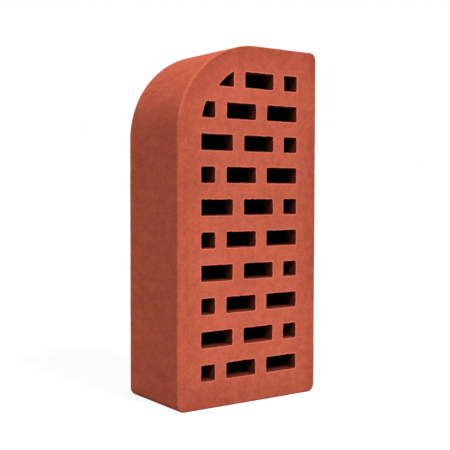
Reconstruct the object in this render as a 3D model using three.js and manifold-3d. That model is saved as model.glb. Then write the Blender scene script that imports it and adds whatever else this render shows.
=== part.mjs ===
// Perforated clay facing brick with one large rounded corner (a bullnose), standing on its header end.
// It is one extruded and wire-cut column of fired clay: the column's section pushed through the
// thickness, less one cutter for each perforation. Millimetres, +Z up, origin in the middle of the
// header end that the brick stands on. X runs across the brick from stretcher face to stretcher
// face, and Y through its thickness.

import * as THREE from "three";
import { mergeVertices } from "three/addons/utils/BufferGeometryUtils.js";
import Module from "manifold-3d";

// Body: the standard format
const LENGTH = 250; // Z, header end to header end
const WIDTH = 120; // X, stretcher face to stretcher face
const THICKNESS = 65; // Y, wire-cut bed face to wire-cut bed face
const NOSE_RADIUS = THICKNESS; // the bullnose, between the -X face and the top end
const BASE_RADIUS = 6; // the two corners at the base
const TOP_RADIUS = 5; // the corner at the top, beyond the bullnose
const ARRIS = 1.2; // rounded edge round each bed face, where the wire leaves the column

// Perforations: three in each row, one of them short, staggered from row to row
const ROWS = 10;
const HOLE_HEIGHT = 10.7;
const SHORT_FIRST = [11, 24.8, 26.8]; // lengths along X in the first, third and every other row
const LONG_FIRST = [25.8, 25.3, 11.5]; // and in the rows between
const TOP_ROW = [26.6, 24.5, 11.5]; // the last of which is set out round the bullnose
const LEFT_MARGIN = 19.2; // clay between the holes and the -X face
const RIGHT_MARGIN = 18.4; // and the +X face
const BASE_MARGIN = 19.5; // clay under the lowest row
const TOP_MARGIN = 18.7; // clay over the highest row
const PITCH_DROP = 0.115; // how much closer each row stands to the last, towards the bullnose
const HOLE_CORNER = 0.9;
const MOUTH_FLARE = 0.25; // how far each mouth opens out, where the wire tears the clay
const MOUTH_DEPTH = 0.35;

const sum = (lengths) => lengths.reduce((total, length) => total + length, 0);
const WEB = (WIDTH - LEFT_MARGIN - RIGHT_MARGIN - sum(SHORT_FIRST)) / 2;
const MEAN_PITCH = (LENGTH - BASE_MARGIN - TOP_MARGIN - HOLE_HEIGHT) / (ROWS - 1);
const FIRST_PITCH = MEAN_PITCH + (PITCH_DROP * (ROWS - 2)) / 2;

// Two holes beside the bullnose are cut back to arcs about one centre, so its wall stays thick
const CUT_CENTRE = new THREE.Vector2(68.4 - WIDTH / 2, LENGTH - 59.8);
const CUT_RADII = new Map([
  [ROWS - 1, 46.6],
  [ROWS - 2, 49.4],
]);

// Facets
const NOSE_STEPS = 28;
const CORNER_STEPS = 5;
const CUT_STEPS = 6;
const HOLE_CORNER_STEPS = 3;
const ARRIS_STEPS = 3;
const OVERSHOOT = 0.05; // how far a cutter stands out of each bed face

const CLAY_COLOUR = 0xb4553f;

const wasm = await Module();
wasm.setup();

// A quarter or other arc, counterclockwise, as points.
function arcPoints(x, z, radius, from, to, steps) {
  return new THREE.ArcCurve(x, z, radius, from, to, false).getPoints(steps);
}

// The column's section: three small corners and the bullnose.
function bodyOutline() {
  const side = WIDTH / 2;
  const base = side - BASE_RADIUS;
  const quarter = Math.PI / 2;
  return [
    ...arcPoints(-base, BASE_RADIUS, BASE_RADIUS, 2 * quarter, 3 * quarter, CORNER_STEPS),
    ...arcPoints(base, BASE_RADIUS, BASE_RADIUS, 3 * quarter, 4 * quarter, CORNER_STEPS),
    ...arcPoints(side - TOP_RADIUS, LENGTH - TOP_RADIUS, TOP_RADIUS, 0, quarter, CORNER_STEPS),
    ...arcPoints(NOSE_RADIUS - side, LENGTH - NOSE_RADIUS, NOSE_RADIUS, quarter, 2 * quarter, NOSE_STEPS),
  ];
}

// A closed loop of sides, each a curve, with every corner between two sides rounded off.
function roundedLoop(sides) {
  return sides.flatMap((side, index) => {
    const next = sides[(index + 1) % sides.length];
    const trim = HOLE_CORNER / side.getLength();
    const steps = side instanceof THREE.ArcCurve ? CUT_STEPS : 1;
    const points = [];
    for (let step = 0; step <= steps; step += 1) {
      points.push(side.getPointAt(trim + ((1 - 2 * trim) * step) / steps));
    }
    const bend = new THREE.QuadraticBezierCurve(
      points.at(-1), side.getPoint(1), next.getPointAt(HOLE_CORNER / next.getLength()),
    );
    return points.concat(bend.getPoints(HOLE_CORNER_STEPS).slice(1, -1));
  });
}

function straightSides(corners) {
  return corners.slice(1).map((corner, index) => new THREE.LineCurve(corners[index], corner));
}

function plainHole(left, right, base, top) {
  const corners = [[left, base], [right, base], [right, top], [left, top], [left, base]];
  return roundedLoop(straightSides(corners.map(([x, z]) => new THREE.Vector2(x, z))));
}

// A hole whose upper left corner is cut off by an arc, which meets its base on the left and
// either its top or its right side above.
function cutHole(left, right, base, top, radius) {
  const acrossAt = (z) => CUT_CENTRE.x - Math.sqrt(radius ** 2 - (z - CUT_CENTRE.y) ** 2);
  const heightAt = (x) => CUT_CENTRE.y + Math.sqrt(radius ** 2 - (x - CUT_CENTRE.x) ** 2);
  const arcLow = new THREE.Vector2(acrossAt(base), base);
  const meetsRight = heightAt(right) < top;
  const arcHigh = meetsRight
    ? new THREE.Vector2(right, heightAt(right))
    : new THREE.Vector2(acrossAt(top), top);
  const corners = [arcLow, new THREE.Vector2(right, base)];
  if (!meetsRight) corners.push(new THREE.Vector2(right, top));
  corners.push(arcHigh);
  const angleOf = (point) => point.clone().sub(CUT_CENTRE).angle();
  const arc = new THREE.ArcCurve(
    CUT_CENTRE.x, CUT_CENTRE.y, radius, angleOf(arcHigh), angleOf(arcLow), false,
  );
  return roundedLoop([...straightSides(corners), arc]);
}

function lengthsInRow(row) {
  if (row === ROWS - 1) return TOP_ROW;
  return row % 2 === 0 ? SHORT_FIRST : LONG_FIRST;
}

// The outlines of one row's holes, the rows counted from 0 at the base.
function rowOfHoles(row) {
  const base = BASE_MARGIN + row * (FIRST_PITCH - (PITCH_DROP * (row - 1)) / 2);
  const top = base + HOLE_HEIGHT;
  let left = LEFT_MARGIN - WIDTH / 2;
  return lengthsInRow(row).map((length, column) => {
    const right = left + length;
    const cut = column === 0 && CUT_RADII.has(row);
    const hole = cut
      ? cutHole(left, right, base, top, CUT_RADII.get(row))
      : plainHole(left, right, base, top);
    left = right + WEB;
    return hole;
  });
}

// An outline in X and Z pushed through the thickness, as a closed solid. It ends `reach` beyond
// the bed faces, and over its last `depth` its outline grows by `flare`, or shrinks where that is
// below 0.
function pushedThrough(outline, { reach, depth, flare, steps }) {
  const straight = THICKNESS + 2 * (reach - depth);
  const extruded = new THREE.ExtrudeGeometry(new THREE.Shape(outline), {
    depth: straight,
    steps: 1,
    bevelEnabled: true,
    bevelThickness: depth,
    bevelSize: -flare,
    bevelOffset: flare,
    bevelSegments: steps,
  });
  extruded.translate(0, 0, -straight / 2);
  extruded.rotateX(Math.PI / 2);
  extruded.deleteAttribute("normal");
  extruded.deleteAttribute("uv");
  const merged = mergeVertices(extruded);
  return new wasm.Manifold(
    new wasm.Mesh({
      numProp: 3,
      vertProperties: merged.attributes.position.array,
      triVerts: new Uint32Array(merged.index.array),
    }),
  );
}

function column() {
  return pushedThrough(bodyOutline(), { reach: 0, depth: ARRIS, flare: -ARRIS, steps: ARRIS_STEPS });
}

// Each cutter is the hole's own outline, opened out in the mouths.
function cutter(outline) {
  return pushedThrough(outline, {
    reach: OVERSHOOT,
    depth: MOUTH_DEPTH + OVERSHOOT,
    flare: MOUTH_FLARE,
    steps: 1,
  });
}

function geometryOf(solid) {
  const { vertProperties, triVerts } = solid.getMesh();
  const geometry = new THREE.BufferGeometry();
  geometry.setAttribute("position", new THREE.BufferAttribute(vertProperties, 3));
  geometry.setIndex(new THREE.BufferAttribute(triVerts, 1));
  geometry.computeVertexNormals();
  return geometry;
}

let body = column();
for (let row = 0; row < ROWS; row += 1) {
  for (const outline of rowOfHoles(row)) {
    body = body.subtract(cutter(outline));
  }
}

const clay = new THREE.MeshStandardMaterial({ color: CLAY_COLOUR, roughness: 0.9, metalness: 0 });
const brick = new THREE.Mesh(geometryOf(body), clay);
brick.name = "brick";

const model = new THREE.Group();
model.add(brick);

export default model;
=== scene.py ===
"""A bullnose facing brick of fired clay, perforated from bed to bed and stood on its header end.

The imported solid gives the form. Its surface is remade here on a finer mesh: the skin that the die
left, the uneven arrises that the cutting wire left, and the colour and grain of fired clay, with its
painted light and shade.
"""

import logging
import math
import random
from collections.abc import Callable, Iterable
from dataclasses import dataclass, field
from enum import Enum

import bmesh
import bpy
from mathutils import Matrix, Vector, kdtree, noise


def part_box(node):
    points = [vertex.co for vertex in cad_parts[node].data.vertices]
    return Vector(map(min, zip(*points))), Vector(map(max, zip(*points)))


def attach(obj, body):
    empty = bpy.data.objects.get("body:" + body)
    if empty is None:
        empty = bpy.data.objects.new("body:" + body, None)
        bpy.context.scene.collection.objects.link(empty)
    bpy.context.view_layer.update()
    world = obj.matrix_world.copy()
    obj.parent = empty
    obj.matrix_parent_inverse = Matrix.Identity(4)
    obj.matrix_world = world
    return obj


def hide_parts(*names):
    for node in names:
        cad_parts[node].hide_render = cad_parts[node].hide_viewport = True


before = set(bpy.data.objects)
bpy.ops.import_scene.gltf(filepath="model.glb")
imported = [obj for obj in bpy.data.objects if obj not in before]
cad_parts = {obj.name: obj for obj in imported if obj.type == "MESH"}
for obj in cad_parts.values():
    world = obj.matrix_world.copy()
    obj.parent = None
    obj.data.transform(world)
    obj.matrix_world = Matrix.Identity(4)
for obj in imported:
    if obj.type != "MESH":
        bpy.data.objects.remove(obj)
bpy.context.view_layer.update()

LOG = logging.getLogger("brick")
NOISE_MEAN = 0.5  # the level about which the shader's noise lies

Colour = tuple[float, float, float]


def smooth_step(low: float, high: float, value: float) -> float:
    """Rises smoothly from 0 to 1 between two limits.

    Args:
        low: The value at and under which the result is 0.
        high: The value at and over which the result is 1.
        value: The value to weigh.

    Returns:
        A number from 0 to 1.
    """
    share = min(max((value - low) / (high - low), 0.0), 1.0)
    return share * share * (3.0 - 2.0 * share)


def display_colour(red: int, green: int, blue: int) -> Colour:
    """Turns a colour as a screen shows it into the linear one that a shader takes.

    Args:
        red: Red, from 0 to 255.
        green: Green, from 0 to 255.
        blue: Blue, from 0 to 255.

    Returns:
        The linear red, green and blue, from 0 to 1.
    """

    def linear(level: int) -> float:
        """One channel's linear value."""
        share = level / 255.0
        return share / 12.92 if share <= 0.04045 else ((share + 0.055) / 1.055) ** 2.4

    return linear(red), linear(green), linear(blue)


def search_tree(points: Iterable[Vector]) -> kdtree.KDTree:
    """A search tree of points.

    Args:
        points: The points, which the tree numbers in their order.

    Returns:
        The balanced tree.
    """
    kept = list(points)
    tree = kdtree.KDTree(len(kept))
    for index, point in enumerate(kept):
        tree.insert(point, index)
    tree.balance()
    return tree


def placed(name: str, data: bpy.types.ID) -> bpy.types.Object:
    """Puts a new object in the scene, at the origin.

    Args:
        name: What it is called.
        data: Its mesh, lamp or camera.

    Returns:
        The object.
    """
    thing = bpy.data.objects.new(name, data)
    bpy.context.scene.collection.objects.link(thing)
    return thing


# ---- Shaders ---------------------------------


@dataclass(frozen=True)
class Signal:
    """A shader socket whose arithmetic in Python adds the Math nodes.

    Attributes:
        bench: The bench that the socket's node stands on.
        socket: The output socket.
    """

    bench: "ShaderBench"
    socket: bpy.types.NodeSocket

    def __add__(self, other: "Signal | float") -> "Signal":
        """This plus another value."""
        return self.bench.maths("ADD", self, other)

    def __radd__(self, other: float) -> "Signal":
        """Another value plus this."""
        return self.bench.maths("ADD", other, self)

    def __sub__(self, other: "Signal | float") -> "Signal":
        """This less another value."""
        return self.bench.maths("SUBTRACT", self, other)

    def __rsub__(self, other: float) -> "Signal":
        """Another value less this."""
        return self.bench.maths("SUBTRACT", other, self)

    def __mul__(self, other: "Signal | float") -> "Signal":
        """This times another value."""
        return self.bench.maths("MULTIPLY", self, other)

    def __rmul__(self, other: float) -> "Signal":
        """Another value times this."""
        return self.bench.maths("MULTIPLY", other, self)

    def clamped(self) -> "Signal":
        """This, held between 0 and 1."""
        return self.bench.output("ShaderNodeClamp", "Result", {}, {"Value": self})


@dataclass(frozen=True)
class ShaderBench:
    """Adds and links the nodes of one material or world.

    Attributes:
        tree: The node tree that is built.
    """

    tree: bpy.types.NodeTree

    @classmethod
    def cleared(cls, owner: bpy.types.Material | bpy.types.World) -> "ShaderBench":
        """A bench on an owner's emptied node tree.

        Args:
            owner: The material or world to build.

        Returns:
            The bench.
        """
        owner.use_nodes = True
        owner.node_tree.nodes.clear()
        return cls(owner.node_tree)

    def add(self, kind: str, settings: dict, inputs: dict) -> bpy.types.Node:
        """Adds any node, sets it, and fills its sockets.

        Args:
            kind: The node's type.
            settings: The node's own settings, which are made first.
            inputs: Values or signals by socket identifier.

        Returns:
            The node.
        """
        node = self.tree.nodes.new(kind)
        for name, value in settings.items():
            setattr(node, name, value)
        sockets = {socket.identifier: socket for socket in node.inputs}
        for name, value in inputs.items():
            if isinstance(value, Signal):
                self.tree.links.new(value.socket, sockets[name])
            elif sockets[name].type == "RGBA":
                sockets[name].default_value = (*value, 1.0)
            else:
                sockets[name].default_value = value
        return node

    def output(self, kind: str, result: str, settings: dict, inputs: dict) -> Signal:
        """Adds any node and gives one of its outputs.

        Args:
            kind: The node's type.
            result: The output's identifier.
            settings: The node's own settings.
            inputs: Values or signals by socket identifier.

        Returns:
            The output as a signal.
        """
        node = self.add(kind, settings, inputs)
        found = next(socket for socket in node.outputs if socket.identifier == result)
        return Signal(self, found)

    def maths(self, operation: str, first: Signal | float, second: Signal | float) -> Signal:
        """The result of a Math node's operation on two values."""
        values = {"Value": first, "Value_001": second}
        return self.output("ShaderNodeMath", "Value", {"operation": operation}, values)

    def mixed(self, share: Signal, start: Signal | Colour, end: Signal | Colour) -> Signal:
        """Two colours blended, with only the second where the share is 1."""
        inputs = {"Factor_Float": share, "A_Color": start, "B_Color": end}
        return self.output("ShaderNodeMix", "Result_Color", {"data_type": "RGBA"}, inputs)

    def brightened(self, colour: Signal, factor: Signal) -> Signal:
        """A colour multiplied by a value."""
        inputs = {"Vector": colour, "Scale": factor}
        return self.output("ShaderNodeVectorMath", "Vector", {"operation": "SCALE"}, inputs)

    def parted(self, vector: Signal) -> tuple[Signal, Signal, Signal]:
        """Parts a vector.

        Args:
            vector: The vector.

        Returns:
            Its X, Y and Z.
        """
        node = self.add("ShaderNodeSeparateXYZ", {}, {"Vector": vector})
        across, through, upward = (Signal(self, socket) for socket in node.outputs)
        return across, through, upward

    def painted(self, name: str) -> Signal:
        """A value that the mesh itself carries at each point, by its attribute's name."""
        return self.output("ShaderNodeAttribute", "Fac", {"attribute_name": name}, {})

    def finish_surface(self, shader: Signal) -> None:
        """Ends a material in a shader."""
        self.add("ShaderNodeOutputMaterial", {}, {"Surface": shader})

    def by_ray(self, cast: Signal, shown: Signal) -> Signal:
        """One shader for the light that a thing sends to the brick, and another for its own look.

        Args:
            cast: The shader that the brick gets its light from.
            shown: The one that is seen, straight, mirrored or through glass.

        Returns:
            The two shaders, mixed by the kind of ray.
        """
        path = self.add("ShaderNodeLightPath", {}, {})
        camera, glossy, transmitted = (
            Signal(self, path.outputs[name])
            for name in ("Is Camera Ray", "Is Glossy Ray", "Is Transmission Ray")
        )
        seen = (camera + glossy + transmitted).clamped()
        inputs = {"Fac": seen, "Shader": cast, "Shader_001": shown}
        return self.output("ShaderNodeMixShader", "Shader", {}, inputs)


# ---- The clay --------------------------------


@dataclass(frozen=True)
class Band:
    """A smooth change along a coordinate or a distance.

    Attributes:
        start: Where it starts.
        full: Where it is full, beyond the start or before it.
        amount: What it then comes to.
    """

    start: float
    full: float
    amount: float = 1.0

    def over(self, place: Signal) -> Signal:
        """The change at each point, from 0 to the whole amount.

        Args:
            place: The coordinate or distance.

        Returns:
            The change.
        """
        levels = {"From Min": self.start, "From Max": self.full, "To Max": self.amount}
        smooth = {"interpolation_type": "SMOOTHSTEP"}
        return place.bench.output("ShaderNodeMapRange", "Result", smooth, {"Value": place, **levels})


@dataclass(frozen=True)
class Patches:
    """One scale of the clay's unevenness, and what it does to the clay.

    Attributes:
        spacing: The size of its patches, in metres.
        octaves: How many finer scales it takes in.
        tint: How far it moves the clay between its two colours.
        shade: How far it makes it paler or darker.
        bump: The part that it has in the clay's relief.
        fineness: How strong each finer octave is to the last.
    """

    spacing: float
    octaves: float
    tint: float = 0.0
    shade: float = 0.0
    bump: float = 0.0
    fineness: float = 0.55

    def over(self, place: Signal) -> Signal:
        """The unevenness at each point.

        Args:
            place: Object coordinates.

        Returns:
            A number about 0, as often over it as under it.
        """
        scales = {"Scale": 1.0 / self.spacing, "Detail": self.octaves, "Roughness": self.fineness}
        level = place.bench.output("ShaderNodeTexNoise", "Fac", {}, {"Vector": place, **scales})
        return level - NOISE_MEAN


@dataclass(frozen=True)
class Specks:
    """A few small round specks of another colour.

    Attributes:
        colour: Their colour.
        cell: The size of the cells, with one speck in some of them, in metres.
        radius: A speck's radius, as a share of its cell.
        blur: How soft its edge is, as a share of its radius.
        empty: The share of the cells that hold no speck.
        strength: How much of its colour a speck shows.
    """

    colour: Colour
    cell: float
    radius: float
    blur: float = 0.5
    empty: float = 0.8
    strength: float = 0.5

    def over(self, clay: Signal, place: Signal) -> Signal:
        """Sets the specks in the clay.

        Args:
            clay: The clay's colour.
            place: Object coordinates.

        Returns:
            The colour with the specks in it.
        """
        bench = place.bench
        cells = bench.add("ShaderNodeTexVoronoi", {}, {"Vector": place, "Scale": 1.0 / self.cell})
        distance, drawn = (Signal(bench, cells.outputs[name]) for name in ("Distance", "Color"))
        draw = bench.output("ShaderNodeSeparateColor", "Red", {}, {"Color": drawn})
        outer, inner = (self.radius * (1.0 + blur) for blur in (self.blur, -self.blur))
        speck = Band(outer, inner, self.strength).over(distance)
        holding = bench.maths("GREATER_THAN", draw, self.empty)
        return bench.mixed(speck * holding, clay, self.colour)


@dataclass(frozen=True)
class ClayPoint:
    """What the clay's material knows of a point of the brick.

    Attributes:
        place: Its object coordinates.
        across: Its X.
        through: Its Y.
        upward: Its Z.
        edge: How far inside the outline it lies, less its depth if it is in no bore.
        mouth: How far from the nearest mouth it lies, and in a bore its depth, below 0.
        clouds: The broad clouds there.
        mottling: The mottling there.
        grain: The grain there.
    """

    place: Signal
    across: Signal
    through: Signal
    upward: Signal
    edge: Signal
    mouth: Signal
    clouds: Signal
    mottling: Signal
    grain: Signal


@dataclass(frozen=True)
class FiredClay:
    """The finish of the whole brick: matt orange-red clay, clouded, mottled and finely grained, with
    painted light and shade.

    Its bands are in metres. A change of brightness with an amount below 0 is a darker one.

    Attributes:
        body: The clay's usual colour.
        deep: Its darker colour, which the clouds and mottling bring in and which grows towards the
            outline.
        worn_and_highlight: The paler rims and bullnose arris: wear and a painted highlight.
        shaded: The painted shade just inside the perforations, darker and richer.
        deep_bore_shade: The browner painted shade deeper in them.
        specks: Its iron flecks and pale grog grains.
        clouds: Its broad clouds.
        mottling: Its mottling.
        grain: Its grain.
        drawn: How the coordinates of the three are scaled, as the die draws them out along Y.
        relief: The height of its bumps, in metres.
        usual: How much of the usual colour it has beside the outline.
        core: How much more it gets inside the outline.
        roughness: How matt it is, and how far the mottling changes that.
        sheen: How much it shines.
        powder: How powdery its colour looks from the side.
        rim: The wear and painted highlight on a mouth's rim, by the distance from the mouth.
        rim_wander: How far the mottling moves the rim's edge, in metres.
        lip: Where the colour turns to painted shade at a mouth, by the depth.
        bore: The depth over which the painted shade in a perforation halves the brightness, in
            metres.
        browning: Where the painted shade turns browner there.
        black: Where the painted shade turns nearly black.
        floor_lag: How much deeper both lie on the perforations' floors, in metres.
        floor_dark: How much darker the painted shade is on those floors.
        rubbed_highlight: How the arris line, wear and painted highlight, sets in on the flank,
            narrowly and broadly.
        faded: Where it ends on the bed.
        nose: The heights at which it sets in.
        back_lag: How much higher that is towards the back.
        crest: The X at which it ends along the top.
        rubbed_highlight_share: How much of the pale colour it shows, and how far the grain changes
            that.
        flank: Where the beds end and the faces that the die formed begin.
        flank_calm: How much less these are mottled.
        crown_painted_light: The painted light on the tops of the beds.
        crown_inset: How far inside the outline they set in.
        foot_painted_shade: The painted shade at the bottom.
        foot_flank: How much fainter it is on the flank.
        margin_painted_light: The painted light along the beds' edge by the flank.
        bend: The heights about the bend of the bullnose, where light is painted.
        bend_painted_light: The bend's painted light halfway between the beds, and its change per
            metre back.
        bend_bed_light: The painted light on the strip of the bed beside it.
        cap_painted_light: The painted light on the top of the flank.
        side: Where the painted light on the flank is.
        side_painted_light: How much painted light it has, in the same two numbers.
        side_back_light: How much more painted light it has at the back.
        painted_shade_side: The painted shade on the side that lies away from the bullnose.
    """

    body: Colour = display_colour(201, 101, 77)
    deep: Colour = display_colour(178, 82, 61)
    worn_and_highlight: Colour = display_colour(238, 130, 102)
    # Painted shade colours of the perforations.
    shaded: Colour = display_colour(124, 49, 36)
    deep_bore_shade: Colour = display_colour(137, 77, 59)
    specks: tuple[Specks, ...] = (
        Specks(display_colour(140, 60, 44), cell=0.0046, radius=0.08),
        Specks(display_colour(216, 124, 96), cell=0.0061, radius=0.07),
    )
    clouds: Patches = Patches(spacing=0.032, octaves=2.0, tint=0.7, shade=0.09)
    mottling: Patches = Patches(spacing=0.0052, octaves=3.0, tint=0.9, shade=0.28, bump=0.5)
    grain: Patches = Patches(spacing=0.0011, octaves=2.0, shade=0.62, bump=0.8)
    drawn: tuple[float, float, float] = (1.0, 0.5, 1.0)
    relief: float = 0.00026
    usual: float = 0.3
    core: Band = Band(0.002, 0.024, 0.55)
    roughness: tuple[float, float] = (0.91, 0.14)
    sheen: float = 0.03
    powder: float = 0.6
    # Wear and painted highlight on the mouths' rims, then painted shade inside the perforations.
    rim: Band = Band(0.001, 0.0002, 0.7)
    rim_wander: float = 0.0008
    lip: Band = Band(0.0, 0.0002)
    bore: float = 0.005
    browning: Band = Band(0.0005, 0.009)
    black: Band = Band(0.0068, 0.0118, 0.85)
    floor_lag: float = 0.005
    floor_dark: float = 0.18
    # Wear and painted highlight along the bullnose arris.
    rubbed_highlight: tuple[Band, Band] = (Band(-0.0034, -0.001, 0.75), Band(-0.012, -0.001, 0.25))
    faded: Band = Band(0.0007, -0.0003)
    nose: Band = Band(0.18, 0.205)
    back_lag: Band = Band(0.0, 0.02, 0.034)
    crest: Band = Band(0.005, -0.01)
    rubbed_highlight_share: tuple[float, float] = (0.34, 0.5)
    flank: Band = Band(0.0, -0.002)
    flank_calm: float = 0.15
    # Painted light and shade in bands over the outside of the brick.
    crown_painted_light: Band = Band(0.19, 0.228, 0.12)
    crown_inset: Band = Band(0.0, 0.008)
    foot_painted_shade: Band = Band(0.04, 0.004, -0.12)
    foot_flank: float = 1.0 / 3.0
    margin_painted_light: Band = Band(-0.051, -0.06, 0.09)
    bend: tuple[Band, Band] = (Band(0.19, 0.208), Band(0.24, 0.222))
    bend_painted_light: tuple[float, float] = (0.03, -3.5)
    bend_bed_light: Band = Band(0.012, 0.0, 0.1)
    cap_painted_light: Band = Band(0.236, 0.246, 0.06)
    side: Band = Band(-0.036, -0.056)
    side_painted_light: tuple[float, float] = (0.1, 1.2)
    side_back_light: Band = Band(0.02, 0.032, 0.09)
    painted_shade_side: Band = Band(0.046, 0.06, -0.06)

    def material(self) -> bpy.types.Material:
        """Builds the clay's material.

        Returns:
            The material, which reads object coordinates and the brick's painted values.
        """
        material = bpy.data.materials.new("fired_clay")
        bench = ShaderBench.cleared(material)
        point = self._read(bench)
        # The pale line on the bullnose arris: wear and a painted highlight.
        share, change = self.rubbed_highlight_share
        rubbed_highlight = self._rubbed_highlight_line(point) * (share + point.grain * change)
        colour = bench.mixed(rubbed_highlight, self._colour(point), self.worn_and_highlight)
        matt, spread = self.roughness
        height = point.grain * self.grain.bump + point.mottling * self.mottling.bump
        bump = bench.output(
            "ShaderNodeBump", "Normal", {}, {"Distance": self.relief, "Height": height}
        )
        sockets = {
            "Base Color": bench.brightened(colour, self._tone_and_painted_light(point)),
            "Roughness": (matt + point.mottling * spread).clamped(),
            "Diffuse Roughness": self.powder,
            "Specular IOR Level": self.sheen,
            "Normal": bump,
        }
        bench.finish_surface(bench.output("ShaderNodeBsdfPrincipled", "BSDF", {}, sockets))
        return material

    def _read(self, bench: ShaderBench) -> ClayPoint:
        """Works out what the rest of the material needs at each point.

        Args:
            bench: The material's bench.

        Returns:
            The point's signals.
        """
        place = bench.output("ShaderNodeTexCoord", "Object", {}, {})
        factors = {"Vector": place, "Vector_001": self.drawn}
        drawn = bench.output("ShaderNodeVectorMath", "Vector", {"operation": "MULTIPLY"}, factors)
        painted = (bench.painted(name) for name in ("edge", "mouth"))
        patches = (patch.over(drawn) for patch in (self.clouds, self.mottling, self.grain))
        return ClayPoint(place, *bench.parted(place), *painted, *patches)

    def _rubbed_highlight_line(self, point: ClayPoint) -> Signal:
        """The thin pale line along the bullnose arris: handling wear and a painted highlight.

        Args:
            point: The point's signals.

        Returns:
            1 on the line and 0 elsewhere.
        """
        narrow, broad = (band.over(point.edge) for band in self.rubbed_highlight)
        line = (narrow + broad) * self.faded.over(point.edge)
        height = point.upward - self.back_lag.over(point.through)
        return line * self.nose.over(height) * self.crest.over(point.across)

    def _tone_and_painted_light(self, point: ClayPoint) -> Signal:
        """The clay's brightness against its colour: random tone, and painted light and shade.

        Args:
            point: The point's signals.

        Returns:
            1 where it is as bright as its colour, and more where it is paler.
        """
        flank = self.flank.over(point.edge)
        bed = 1.0 - flank
        fine = point.mottling * self.mottling.shade + point.grain * self.grain.shade
        below, above = (band.over(point.upward) for band in self.bend)
        bend, side = (
            halfway + point.through * slope for halfway, slope in (self.bend_painted_light, self.side_painted_light)
        )
        return (
            1.0
            + point.clouds * self.clouds.shade
            + fine * (1.0 - flank * self.flank_calm)
            # From here on, painted light and shade: paler tops, a darker bottom, paler strips and
            # bands.
            + self.crown_inset.over(point.edge) * self.crown_painted_light.over(point.upward)
            + self.foot_painted_shade.over(point.upward) * (1.0 - flank * self.foot_flank)
            + bed * self.margin_painted_light.over(point.across)
            + below * above * (flank * bend + bed * self.bend_bed_light.over(point.edge))
            + flank * self.cap_painted_light.over(point.upward)
            + flank * self.side.over(point.across) * (side + self.side_back_light.over(point.through))
            + self.painted_shade_side.over(point.across)
        )

    def _colour(self, point: ClayPoint) -> Signal:
        """The clay's colour, with its painted bore shade and rim highlight, before tone and painted
        light.

        Args:
            point: The point's signals.

        Returns:
            The colour.
        """
        bench = point.place.bench
        tint = point.clouds * self.clouds.tint + point.mottling * self.mottling.tint
        usual = (self.core.over(point.edge) + tint + self.usual).clamped()
        colour = bench.mixed(usual, self.deep, self.body)
        for specks in self.specks:
            colour = specks.over(colour, point.place)
        # The mouths' pale rims: wear and a painted highlight.
        rim = self.rim.over(point.mouth + point.mottling * self.rim_wander)
        colour = bench.mixed(rim, colour, self.worn_and_highlight)
        # Inside the mouths the colour turns to the perforations' painted shade.
        depth = point.mouth * -1.0
        return bench.mixed(self.lip.over(depth), colour, self._bore_painted_shade(depth))

    def _bore_painted_shade(self, depth: Signal) -> Signal:
        """The painted shade of the perforations, darker and browner towards their middle.

        Args:
            depth: The depth under the nearer bed.

        Returns:
            The colour.
        """
        bench = depth.bench
        facing = bench.output("ShaderNodeNewGeometry", "Normal", {}, {})
        _, _, rise = bench.parted(facing)
        floor = rise.clamped()
        # Painted shade that deepens with depth, and more on the floors.
        sunk = depth - floor * self.floor_lag
        return bench.brightened(
            bench.mixed(self.browning.over(sunk), self.shaded, self.deep_bore_shade),
            bench.maths("POWER", 0.5, depth * (1.0 / self.bore))
            * (1.0 - self.black.over(sunk))
            * (1.0 - floor * self.floor_dark),
        )


# ---- The brick -------------------------------


class Surface(Enum):
    """The kinds of surface on a wire-cut, perforated brick."""

    BED = "the two faces that the wire cut"
    SKIN = "the faces that the die formed"
    BORE = "the walls of the perforations"


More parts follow.
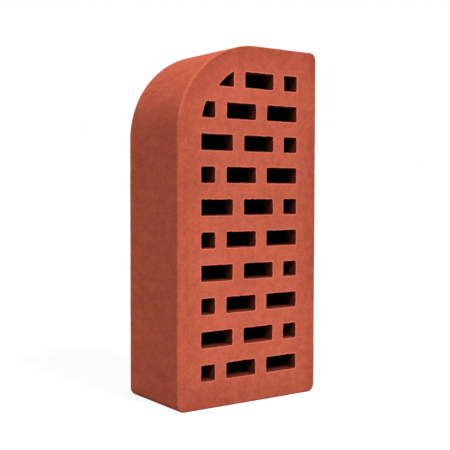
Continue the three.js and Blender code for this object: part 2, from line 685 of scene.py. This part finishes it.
@dataclass(frozen=True)
class Section:
    """The brick's outline in X and Z, and its thickness along Y, in metres.

    Attributes:
        half_width: From the middle to either stretcher face.
        half_thickness: From the middle to either bed.
        height: From the header that it stands on to the other.
        nose_radius: The bullnose.
        base_radius: The two corners at the base.
        top_radius: The corner beyond the bullnose.
        arris: The radius that the wire left round each bed.
        mouth: How deep under a bed the perforations' mouths open out.
        close: How near a point may be to a surface to count as on it.
    """

    half_width: float
    half_thickness: float
    height: float
    nose_radius: float = 0.065
    base_radius: float = 0.006
    top_radius: float = 0.005
    arris: float = 0.0012
    mouth: float = 0.00035
    close: float = 0.00004

    @classmethod
    def of_node(cls, node: str) -> "Section":
        """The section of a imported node.

        Args:
            node: The node's name.

        Returns:
            The section.
        """
        _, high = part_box(node)
        return cls(high.x, high.y, high.z)

    def depth(self, point: Vector) -> float:
        """How far a point lies under the nearer bed, in metres."""
        return self.half_thickness - abs(point.y)

    def inset(self, depth: float) -> float:
        """How far the rounded arris stands in from the face beside it.

        Args:
            depth: The depth under the bed.

        Returns:
            The inset in metres, 0 below the arris.
        """
        rise = max(self.arris - depth, 0.0)
        return self.arris - math.sqrt(max(self.arris**2 - rise**2, 0.0))

    def outline(self, point: Vector) -> tuple[float, Vector]:
        """Where a point stands to the outline.

        Args:
            point: The point, whose Y doesn't count.

        Returns:
            How far inside the outline it is, and the outward direction there.
        """
        nose_x = self.nose_radius - self.half_width
        nose_z = self.height - self.nose_radius
        if point.x < nose_x and point.z > nose_z:
            arm = Vector((point.x - nose_x, 0.0, point.z - nose_z))
            return self.nose_radius - arm.length, arm.normalized()
        radius = self.base_radius if point.z < self.height / 2.0 else self.top_radius
        reach = self.half_width - radius
        across = min(max(point.x, -reach), reach)
        upward = min(max(point.z, radius), self.height - radius)
        arm = Vector((point.x - across, 0.0, point.z - upward))
        if arm.x and arm.z:
            return radius - arm.length, arm.normalized()
        sides = (
            (self.half_width - abs(point.x), Vector((math.copysign(1.0, point.x), 0.0, 0.0))),
            (point.z, Vector((0.0, 0.0, -1.0))),
            (self.height - point.z, Vector((0.0, 0.0, 1.0))),
        )
        return min(sides, key=lambda side: side[0])

    def surface(self, point: Vector) -> Surface:
        """Which kind of surface a point of the shell lies on.

        Args:
            point: A point of the brick's shell.

        Returns:
            The kind. An arris belongs to the face that it leads down to.
        """
        gap, _ = self.outline(point)
        if gap < self.arris + self.close:
            return Surface.SKIN
        return Surface.BED if self.depth(point) < self.close else Surface.BORE

    def near_bed(self, point: Vector) -> bool:
        """Whether a point of the shell lies within a mouth's depth of a bed, off its outline."""
        gap, _ = self.outline(point)
        return gap > self.arris + self.close and self.depth(point) < self.mouth + self.close


@dataclass(frozen=True)
class Swell:
    """One band of unevenness in a surface.

    Attributes:
        height: How far it stands in or out, in metres.
        spacing: The size of its cells along X, Y and Z, in metres.
        seed: What sets it apart from the other bands.
    """

    height: float
    spacing: tuple[float, float, float]
    seed: float

    def at(self, point: Vector) -> float:
        """The unevenness at a point.

        Args:
            point: The point.

        Returns:
            The height there in metres, in or out.
        """
        shifts = (self.seed, -self.seed, 2.0 * self.seed)
        cell = [at / size + shift for at, size, shift in zip(point, self.spacing, shifts)]
        return self.height * noise.noise(Vector(cell))


def evenly(spacing: float) -> tuple[float, float, float]:
    """The same spacing along each axis."""
    return spacing, spacing, spacing


@dataclass(frozen=True)
class Relief:
    """How uneven each kind of surface is.

    Attributes:
        warp: The whole brick's slight warp from drying and firing.
        bed: Lumps and tooth of the cut beds.
        skin: The smoother skin, with drag lines through the thickness.
        bore: The same lines, deeper, on the walls of the perforations.
        bed_depth: How deep under a bed the bed's relief fades out, in metres.
        tear: How the wire shifted the clay sideways near the beds, in broad and fine steps.
        tear_depth: How deep under a bed the clay was shifted, in metres.
        tear_inset: How far inside the outline the shift sets in and is full, in metres.
        torn: How far it dragged the mouths' edges open, towards -X and downwards, in metres.
        torn_below: The share of that which the lower edge of a mouth's flare moved.
    """

    warp: tuple[Swell, ...] = (Swell(0.00016, evenly(0.07), 3.1),)
    bed: tuple[Swell, ...] = (
        Swell(0.00009, evenly(0.011), 7.3),
        Swell(0.00006, evenly(0.0042), 11.9),
    )
    skin: tuple[Swell, ...] = (
        Swell(0.00007, evenly(0.014), 17.7),
        Swell(0.00002, (0.0036, 0.045, 0.0036), 23.1),
    )
    bore: tuple[Swell, ...] = (
        Swell(0.0001, evenly(0.012), 29.3),
        Swell(0.00008, (0.003, 0.04, 0.003), 31.7),
    )
    tear: tuple[tuple[Swell, ...], tuple[Swell, ...]] = (
        (Swell(0.0002, evenly(0.0038), 37.1), Swell(0.00012, evenly(0.0014), 43.9)),
        (Swell(0.0002, evenly(0.0038), 41.3), Swell(0.00012, evenly(0.0014), 47.7)),
    )
    bed_depth: float = 0.0024
    tear_depth: float = 0.003
    tear_inset: tuple[float, float] = (0.002, 0.008)
    torn: tuple[float, float] = (0.00016, 0.0003)
    torn_below: float = 0.5

    def height(self, section: Section, point: Vector) -> float:
        """How far the surface stands in or out at a point.

        Args:
            section: The brick's section.
            point: A point of its shell.

        Returns:
            The height in metres along the surface's normal.
        """
        kind = section.surface(point)
        side = self.bore if kind is Surface.BORE else self.skin
        under = smooth_step(0.0, self.bed_depth, section.depth(point))
        warp = sum(swell.at(point) for swell in self.warp)
        bed = sum(swell.at(point) for swell in self.bed) if under < 1.0 else 0.0
        wall = sum(swell.at(point) for swell in side) if under > 0.0 else 0.0
        return warp + (1.0 - under) * bed + under * wall

    def shift(self, section: Section, point: Vector) -> Vector:
        """How far the cut dragged a point sideways, within the bed's plane.

        Args:
            section: The brick's section.
            point: A point of its shell.

        Returns:
            The shift.
        """
        near = 1.0 - smooth_step(0.0, self.tear_depth, section.depth(point))
        if near == 0.0:
            return Vector()
        gap, _ = section.outline(point)
        near *= smooth_step(*self.tear_inset, gap)
        across, along = (sum(swell.at(point) for swell in swells) for swells in self.tear)
        return Vector((across, 0.0, along)) * near

    def opening(self, section: Section, point: Vector, normal: Vector) -> Vector:
        """How far the wire dragged a mouth open at one of its points.

        Args:
            section: The brick's section.
            point: A point of the mouth.
            normal: The surface's normal there.

        Returns:
            The move, away from the middle of the perforation.
        """
        inward = Vector((normal.x, 0.0, normal.z)).normalized()
        left, down = self.torn
        reach = max(inward.x * left + inward.z * down, 0.0)
        under = smooth_step(0.0, section.mouth, section.depth(point))
        return inward * -reach * (1.0 - (1.0 - self.torn_below) * under)


@dataclass(frozen=True)
class Nicks:
    """Small chips out of the mouths' edges.

    Attributes:
        count: How many there are.
        radii: The smallest and largest radius, in metres.
        depths: The shallowest and deepest, in metres.
        seed: What their places are drawn from.
    """

    count: int = 110
    radii: tuple[float, float] = (0.0007, 0.0017)
    depths: tuple[float, float] = (0.0001, 0.0003)
    seed: int = 7

    def knock(self, shell: bmesh.types.BMesh, mouths: list[bmesh.types.BMVert]) -> None:
        """Pushes the shell in at the nicks.

        Args:
            shell: The brick's shell, with its normals up to date.
            mouths: The vertices among which the nicks are centred.
        """
        draw = random.Random(self.seed)
        tree = search_tree(vertex.co for vertex in shell.verts)
        shell.verts.ensure_lookup_table()
        for centre in draw.sample(mouths, self.count):
            radius = draw.uniform(*self.radii)
            push = -centre.normal * draw.uniform(*self.depths)
            for _, index, distance in tree.find_range(centre.co.copy(), radius):
                shell.verts[index].co += push * (1.0 - (distance / radius) ** 2) ** 2


@dataclass
class BrickBody:
    """The fired brick: one shell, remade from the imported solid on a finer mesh.

    Attributes:
        section: The brick's section.
        finish: The clay.
        relief: How uneven its surfaces are.
        nicks: The chips in its mouths' edges.
        doubles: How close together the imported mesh's doubles lie, in metres.
        flat: The bend under which two faces are taken as one, in degrees.
        grid: Mesh spacing across the section, in metres.
        snap_share: How near to a cut a vertex counts as on it, as a share of that spacing.
        thin_layers: How many thin layers lie under each bed.
        thin_layer: The thickness of one, in metres.
        thick_layer: About the thickness of those between, in metres.
        border: The width of the border along the beds' edges, in metres.
        dragged: How far from a mouth the bed was dragged with it, in metres.
        level: How far an edge that runs along an arris may change its depth, in metres.
        long_edge: The length from which such an edge is halved, in metres.
        sharp: The bend over which an edge of a mouth stays sharp, in degrees.
        shell: The mesh in the making.
    """

    section: Section
    finish: FiredClay = field(default_factory=FiredClay)
    relief: Relief = field(default_factory=Relief)
    nicks: Nicks = field(default_factory=Nicks)
    doubles: float = 0.000002
    flat: float = 0.4
    grid: float = 0.0016
    snap_share: float = 1.0 / 4.5
    thin_layers: int = 5
    thin_layer: float = 0.001
    thick_layer: float = 0.0035
    border: float = 0.0004
    dragged: float = 0.0008
    level: float = 0.00006
    long_edge: float = 0.00096
    sharp: float = 25.0
    shell: bmesh.types.BMesh = field(default_factory=bmesh.new)

    def build(self, node: str) -> bpy.types.Object:
        """Makes the brick and puts it in the node's place.

        Args:
            node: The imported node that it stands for.

        Returns:
            The finished object.
        """
        self._copy(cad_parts[node])
        self._border_beds()
        self._slice()
        self._halve(self._is_long_arris)
        self._halve(self._is_rim)
        self._round_outline()
        self._sharpen_mouths()
        self._measure()
        self._roughen()
        mesh = bpy.data.meshes.new("fired_brick")
        self.shell.to_mesh(mesh)
        self.shell.free()
        mesh.shade_smooth()
        mesh.materials.append(self.finish.material())
        brick = placed("fired_brick", mesh)
        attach(brick, "root")
        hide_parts(node)
        return brick

    def _copy(self, node: bpy.types.Object) -> None:
        """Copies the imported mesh, merges its doubles and dissolves its flats.

        Args:
            node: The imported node.
        """
        shell = self.shell
        shell.from_mesh(node.data)
        for layers in (shell.loops.layers.uv, shell.loops.layers.color):
            for layer in list(layers.values()):
                layers.remove(layer)
        bmesh.ops.remove_doubles(shell, verts=shell.verts[:], dist=self.doubles)
        bmesh.ops.dissolve_limit(
            shell, angle_limit=math.radians(self.flat), verts=shell.verts[:], edges=shell.edges[:]
        )

    def _border_beds(self) -> None:
        """Runs a narrow border along every edge of the beds, so that they shade flat up to it."""
        bmesh.ops.triangulate(self.shell, faces=self._bed_faces())
        beds = self._bed_faces()
        bmesh.ops.beautify_fill(self.shell, faces=beds, edges=self._edges_within(beds))
        beds = self._bed_faces()
        bmesh.ops.inset_region(
            self.shell, faces=beds, thickness=self.border, use_boundary=True, use_even_offset=True
        )
        within = self._edges_within(beds)
        bmesh.ops.dissolve_limit(
            self.shell, angle_limit=math.radians(self.flat), verts=[], edges=within
        )

    def _bed_faces(self) -> list[bmesh.types.BMFace]:
        """The faces of the beds.

        Returns:
            The faces that lie flat in either bed.
        """
        return [
            face
            for face in self.shell.faces
            if all(self.section.depth(vertex.co) < self.section.close for vertex in face.verts)
        ]

    def _edges_within(self, faces: list[bmesh.types.BMFace]) -> list[bmesh.types.BMEdge]:
        """The edges that have some of these faces on both sides."""
        chosen = set(faces)
        return [edge for edge in self.shell.edges if chosen.issuperset(edge.link_faces)]

    def _slice(self) -> None:
        """Cuts the shell along the planes of a grid, finer near the beds."""
        side = self.section.half_width
        snap = self.grid * self.snap_share
        cuts = (
            (Vector((1.0, 0.0, 0.0)), self._between(-side, side, self.grid), snap),
            (Vector((0.0, 0.0, 1.0)), self._between(0.0, self.section.height, self.grid), snap),
            (Vector((0.0, 1.0, 0.0)), self._layers(), self.section.close),
        )
        for axis, places, near in cuts:
            for place in places:
                everything = self.shell.verts[:] + self.shell.edges[:] + self.shell.faces[:]
                bmesh.ops.bisect_plane(
                    self.shell, geom=everything, dist=near, plane_co=axis * place, plane_no=axis
                )

    @staticmethod
    def _between(low: float, high: float, spacing: float) -> list[float]:
        """The places that part a span evenly.

        Args:
            low: The span's start.
            high: Its end.
            spacing: About how far apart the places are.

        Returns:
            The places, without the two ends.
        """
        count = round((high - low) / spacing)
        return [low + (high - low) * index / count for index in range(1, count)]

    def _layers(self) -> list[float]:
        """Where the shell is cut through its thickness, finely under the beds.

        Returns:
            The Y of each cut.
        """
        outer = self.section.half_thickness - self.section.arris - self.border
        thin = [outer - self.thin_layer * index for index in range(self.thin_layers)]
        thick = self._between(-thin[-1], thin[-1], self.thick_layer)
        return [-y for y in thin] + thick + thin

    def _is_long_arris(self, edge: bmesh.types.BMEdge) -> bool:
        """Whether an edge is long and runs along an arris.

        Args:
            edge: An edge of the shell.

        Returns:
            True if it keeps its depth and lies in an arris.
        """
        first, second = (self.section.depth(vertex.co) for vertex in edge.verts)
        if abs(first - second) > self.level or first > self.section.arris + self.level:
            return False
        return max(self._depths_beside(edge)) > self.level and edge.calc_length() > self.long_edge

    def _is_rim(self, edge: bmesh.types.BMEdge) -> bool:
        """Whether an edge lies between a bed and the mouth of a perforation.

        Args:
            edge: An edge of the shell.

        Returns:
            True if it does.
        """
        if any(self.section.surface(vertex.co) is not Surface.BED for vertex in edge.verts):
            return False
        beside = self._depths_beside(edge)
        return max(beside) > self.section.close > min(beside)

    def _depths_beside(self, edge: bmesh.types.BMEdge) -> list[float]:
        """How deep the middles of the faces beside an edge lie."""
        return [self.section.depth(face.calc_center_median()) for face in edge.link_faces]

    def _halve(self, chosen: Callable[[bmesh.types.BMEdge], bool]) -> None:
        """Halves edges, and parts the faces beside them so that none folds when it is shaped.

        Args:
            chosen: Whether an edge is to be halved.
        """
        shell = self.shell
        edges = [edge for edge in shell.edges if chosen(edge)]
        halved = bmesh.ops.subdivide_edges(shell, edges=edges, cuts=1)["geom_inner"]
        middles = {part for part in halved if isinstance(part, bmesh.types.BMVert)}
        beside = [face for face in shell.faces if not middles.isdisjoint(face.verts)]
        bmesh.ops.triangulate(shell, faces=beside, quad_method="BEAUTY", ngon_method="BEAUTY")

    def _round_outline(self) -> None:
        """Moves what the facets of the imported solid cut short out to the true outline."""
        for vertex in self.shell.verts:
            if self.section.surface(vertex.co) is Surface.SKIN:
                gap, outward = self.section.outline(vertex.co)
                vertex.co += outward * (gap - self.section.inset(self.section.depth(vertex.co)))

    def _sharpen_mouths(self) -> None:
        """Marks the edges of the mouths, so that smooth shading leaves them crisp."""
        for edge in self.shell.edges:
            bent = edge.calc_face_angle(0.0) > math.radians(self.sharp)
            edge.smooth = not (
                bent and all(self.section.near_bed(vertex.co) for vertex in edge.verts)
            )

    def _mouths(self) -> list[bmesh.types.BMVert]:
        """The vertices of the mouths.

        Returns:
            Those along the mouths' sharp edges.
        """
        return [
            vertex
            for vertex in self.shell.verts
            if not all(edge.smooth for edge in vertex.link_edges)
        ]

    def _rims(self) -> list[bmesh.types.BMVert]:
        """The vertices of the mouths that lie in a bed."""
        surface = self.section.surface
        return [vertex for vertex in self._mouths() if surface(vertex.co) is Surface.BED]

    def _measure(self) -> None:
        """Gives each vertex the two distances that the clay's material reads.

        `edge` is how far inside the outline a vertex lies, less its depth if it is in no bore.
        `mouth` is how far from the nearest mouth it lies, and in a bore its depth, below 0.
        """
        edge, mouth = (self.shell.verts.layers.float.new(name) for name in ("edge", "mouth"))
        rims = search_tree(vertex.co for vertex in self._rims())
        for vertex in self.shell.verts:
            gap, _ = self.section.outline(vertex.co)
            depth = self.section.depth(vertex.co)
            if self.section.surface(vertex.co) is Surface.BORE:
                vertex[edge], vertex[mouth] = gap, -depth
            else:
                _, _, away = rims.find(vertex.co)
                vertex[edge], vertex[mouth] = gap - depth, away

    def _roughen(self) -> None:
        """Gives the shell its unevenness, and tears and nicks its mouths."""
        self.shell.normal_update()
        mouths = self._mouths()
        moves = {
            vertex: vertex.normal * self.relief.height(self.section, vertex.co)
            + self.relief.shift(self.section, vertex.co)
            for vertex in self.shell.verts
        }
        for vertex in mouths:
            moves[vertex] += self.relief.opening(self.section, vertex.co, vertex.normal)
        self._drag_beds(moves)
        for vertex, move in moves.items():
            vertex.co += move
        self.nicks.knock(self.shell, mouths)
        self.shell.normal_update()

    def _drag_beds(self, moves: dict[bmesh.types.BMVert, Vector]) -> None:
        """Lets the beds follow the mouths that were torn open, the less the further away.

        Args:
            moves: The move of each vertex of the shell, which is added to.
        """
        rims = self._rims()
        nearest = search_tree(vertex.co for vertex in rims)
        torn = set(self._mouths())
        for vertex in self.shell.verts:
            if vertex in torn or self.section.surface(vertex.co) is not Surface.BED:
                continue
            _, index, away = nearest.find(vertex.co)
            rim = rims[index]
            share = max(1.0 - away / self.dragged, 0.0)
            moves[vertex] += share * self.relief.opening(self.section, rim.co, rim.normal)


# ---- The studio ------------------------------


@dataclass(frozen=True)
class SoftLamp:
    """A broad, distant studio lamp.

    Attributes:
        name: What the lamp is called.
        stands: The direction in which it stands from the brick.
        level: How bright it makes a white surface that faces it, where 1 is white.
        spread: How wide the lamp looks from the brick, in degrees.
    """

    name: str
    stands: tuple[float, float, float]
    level: float
    spread: float

    def hang(self) -> bpy.types.Object:
        """Puts the lamp in the scene.

        Returns:
            The lamp's object.
        """
        light = bpy.data.lights.new(self.name, "SUN")
        light.energy = math.pi * self.level
        light.angle = math.radians(self.spread)
        lamp = placed(self.name, light)
        lamp.rotation_mode = "QUATERNION"
        lamp.rotation_quaternion = Vector(self.stands).to_track_quat("Z", "Y")
        return lamp


@dataclass(frozen=True)
class PaleFloor:
    """The finish of the floor: white where light falls on it, with a faint soft shadow.

    Attributes:
        lit: The part of its white that the lamps give.
        own: The part that it has even in shadow.
        bounced: How pale it is to the light that it throws back on the brick.
    """

    lit: float = 0.14
    own: float = 0.9
    bounced: float = 0.25

    def material(self) -> bpy.types.Material:
        """Builds the floor's material.

        Returns:
            The material.
        """
        material = bpy.data.materials.new("pale_floor")
        bench = ShaderBench.cleared(material)
        cast = self._matt(bench, self.bounced, 0.0)
        shown = self._matt(bench, self.lit, self.own)
        bench.finish_surface(bench.by_ray(cast, shown))
        return material

    @staticmethod
    def _matt(bench: ShaderBench, grey: float, glow: float) -> Signal:
        """A matt grey shader with a glow of its own.

        Args:
            bench: The material's bench.
            grey: How pale the surface is.
            glow: How much light it gives off.

        Returns:
            The shader.
        """
        sockets = {
            "Base Color": (grey, grey, grey),
            "Roughness": 1.0,
            "Specular IOR Level": 0.0,
            "Emission Color": (1.0, 1.0, 1.0),
            "Emission Strength": glow,
        }
        return bench.output("ShaderNodeBsdfPrincipled", "BSDF", {}, sockets)


@dataclass
class Studio:
    """A plain pale floor, a white surround and soft lamps.

    Attributes:
        lamps: The lamps.
        fill: How bright the surround is as light on the brick.
        floor_size: The floor's side, in metres.
        floor: The floor's finish.
    """

    lamps: tuple[SoftLamp, ...] = (
        SoftLamp("front_lamp", (0.135, -0.665, 0.734), 1.11, 14.0),
        SoftLamp("left_front_lamp", (-0.59, -0.49, 0.64), 0.28, 20.0),
        SoftLamp("left_back_lamp", (-0.75, 0.55, 0.37), 0.3, 68.0),
        SoftLamp("right_back_lamp", (0.9, 0.4, 0.16), 0.41, 70.0),
    )
    fill: float = 0.105
    floor_size: float = 30.0
    floor: PaleFloor = field(default_factory=PaleFloor)

    def build(self) -> list[bpy.types.Object]:
        """Sets up the floor, the surround and the lamps.

        Returns:
            The lamps.
        """
        self._lay_floor()
        self._surround()
        return [lamp.hang() for lamp in self.lamps]

    def _lay_floor(self) -> None:
        """Lays the floor under the brick."""
        sheet = bmesh.new()
        bmesh.ops.create_grid(sheet, x_segments=1, y_segments=1, size=self.floor_size / 2.0)
        mesh = bpy.data.meshes.new("studio_floor")
        sheet.to_mesh(mesh)
        sheet.free()
        mesh.materials.append(self.floor.material())
        floor = placed("studio_floor", mesh)

    def _surround(self) -> None:
        """Makes the world white to look at and dim as a light."""
        world = bpy.data.worlds.new("studio_surround")
        bench = ShaderBench.cleared(world)
        white = {"Color": (1.0, 1.0, 1.0)}
        dim, bright = (
            bench.output("ShaderNodeBackground", "Background", {}, {"Strength": level, **white})
            for level in (self.fill, 1.0)
        )
        bench.add("ShaderNodeOutputWorld", {}, {"Surface": bench.by_ray(dim, bright)})
        bpy.context.scene.world = world


@dataclass(frozen=True)
class Viewpoint:
    """Where the brick is seen from.

    Attributes:
        place: The camera's place, in metres.
        yaw: How far it looks to the right of straight across the brick, in degrees.
        pitch: How far it looks up, in degrees.
        roll: How far it is turned about its own axis, in degrees.
        lens: Its focal length, in millimetres.
        sensor: Its sensor's width, in millimetres.
        nearest: The distance from which it sees things, in metres.
    """

    place: tuple[float, float, float] = (-0.362511, -0.516873, 0.149651)
    yaw: float = 35.144
    pitch: float = -2.328
    roll: float = 0.123
    lens: float = 69.111
    sensor: float = 36.0
    nearest: float = 0.01

    def build(self) -> bpy.types.Object:
        """Adds the camera and makes it the scene's own.

        Returns:
            The camera.
        """
        yaw, pitch = math.radians(self.yaw), math.radians(self.pitch)
        forward = Vector(
            (math.sin(yaw) * math.cos(pitch), math.cos(yaw) * math.cos(pitch), math.sin(pitch))
        )
        turned = forward.to_track_quat("-Z", "Y").to_matrix()
        turned = turned @ Matrix.Rotation(math.radians(self.roll), 3, "Z")
        data = bpy.data.cameras.new("camera")
        data.lens = self.lens
        data.sensor_width = self.sensor
        data.clip_start = self.nearest
        camera = placed("camera", data)
        camera.matrix_world = Matrix.Translation(self.place) @ turned.to_4x4()
        bpy.context.scene.camera = camera
        return camera


def main() -> None:
    """Builds the view, the studio and the brick, and reports each."""
    logging.basicConfig(level=logging.INFO, format="%(message)s")
    bpy.context.scene.view_settings.view_transform = "Standard"
    camera = Viewpoint().build()
    LOG.info("%s: %.1f mm lens", camera.name, camera.data.lens)
    for lamp in Studio().build():
        LOG.info("%s: strength %.2f", lamp.name, lamp.data.energy)
    brick = BrickBody(Section.of_node("brick")).build("brick")
    mesh = brick.data
    LOG.info("%s: %d vertices, %d faces", brick.name, len(mesh.vertices), len(mesh.polygons))


if __name__ == "__main__":
    main()
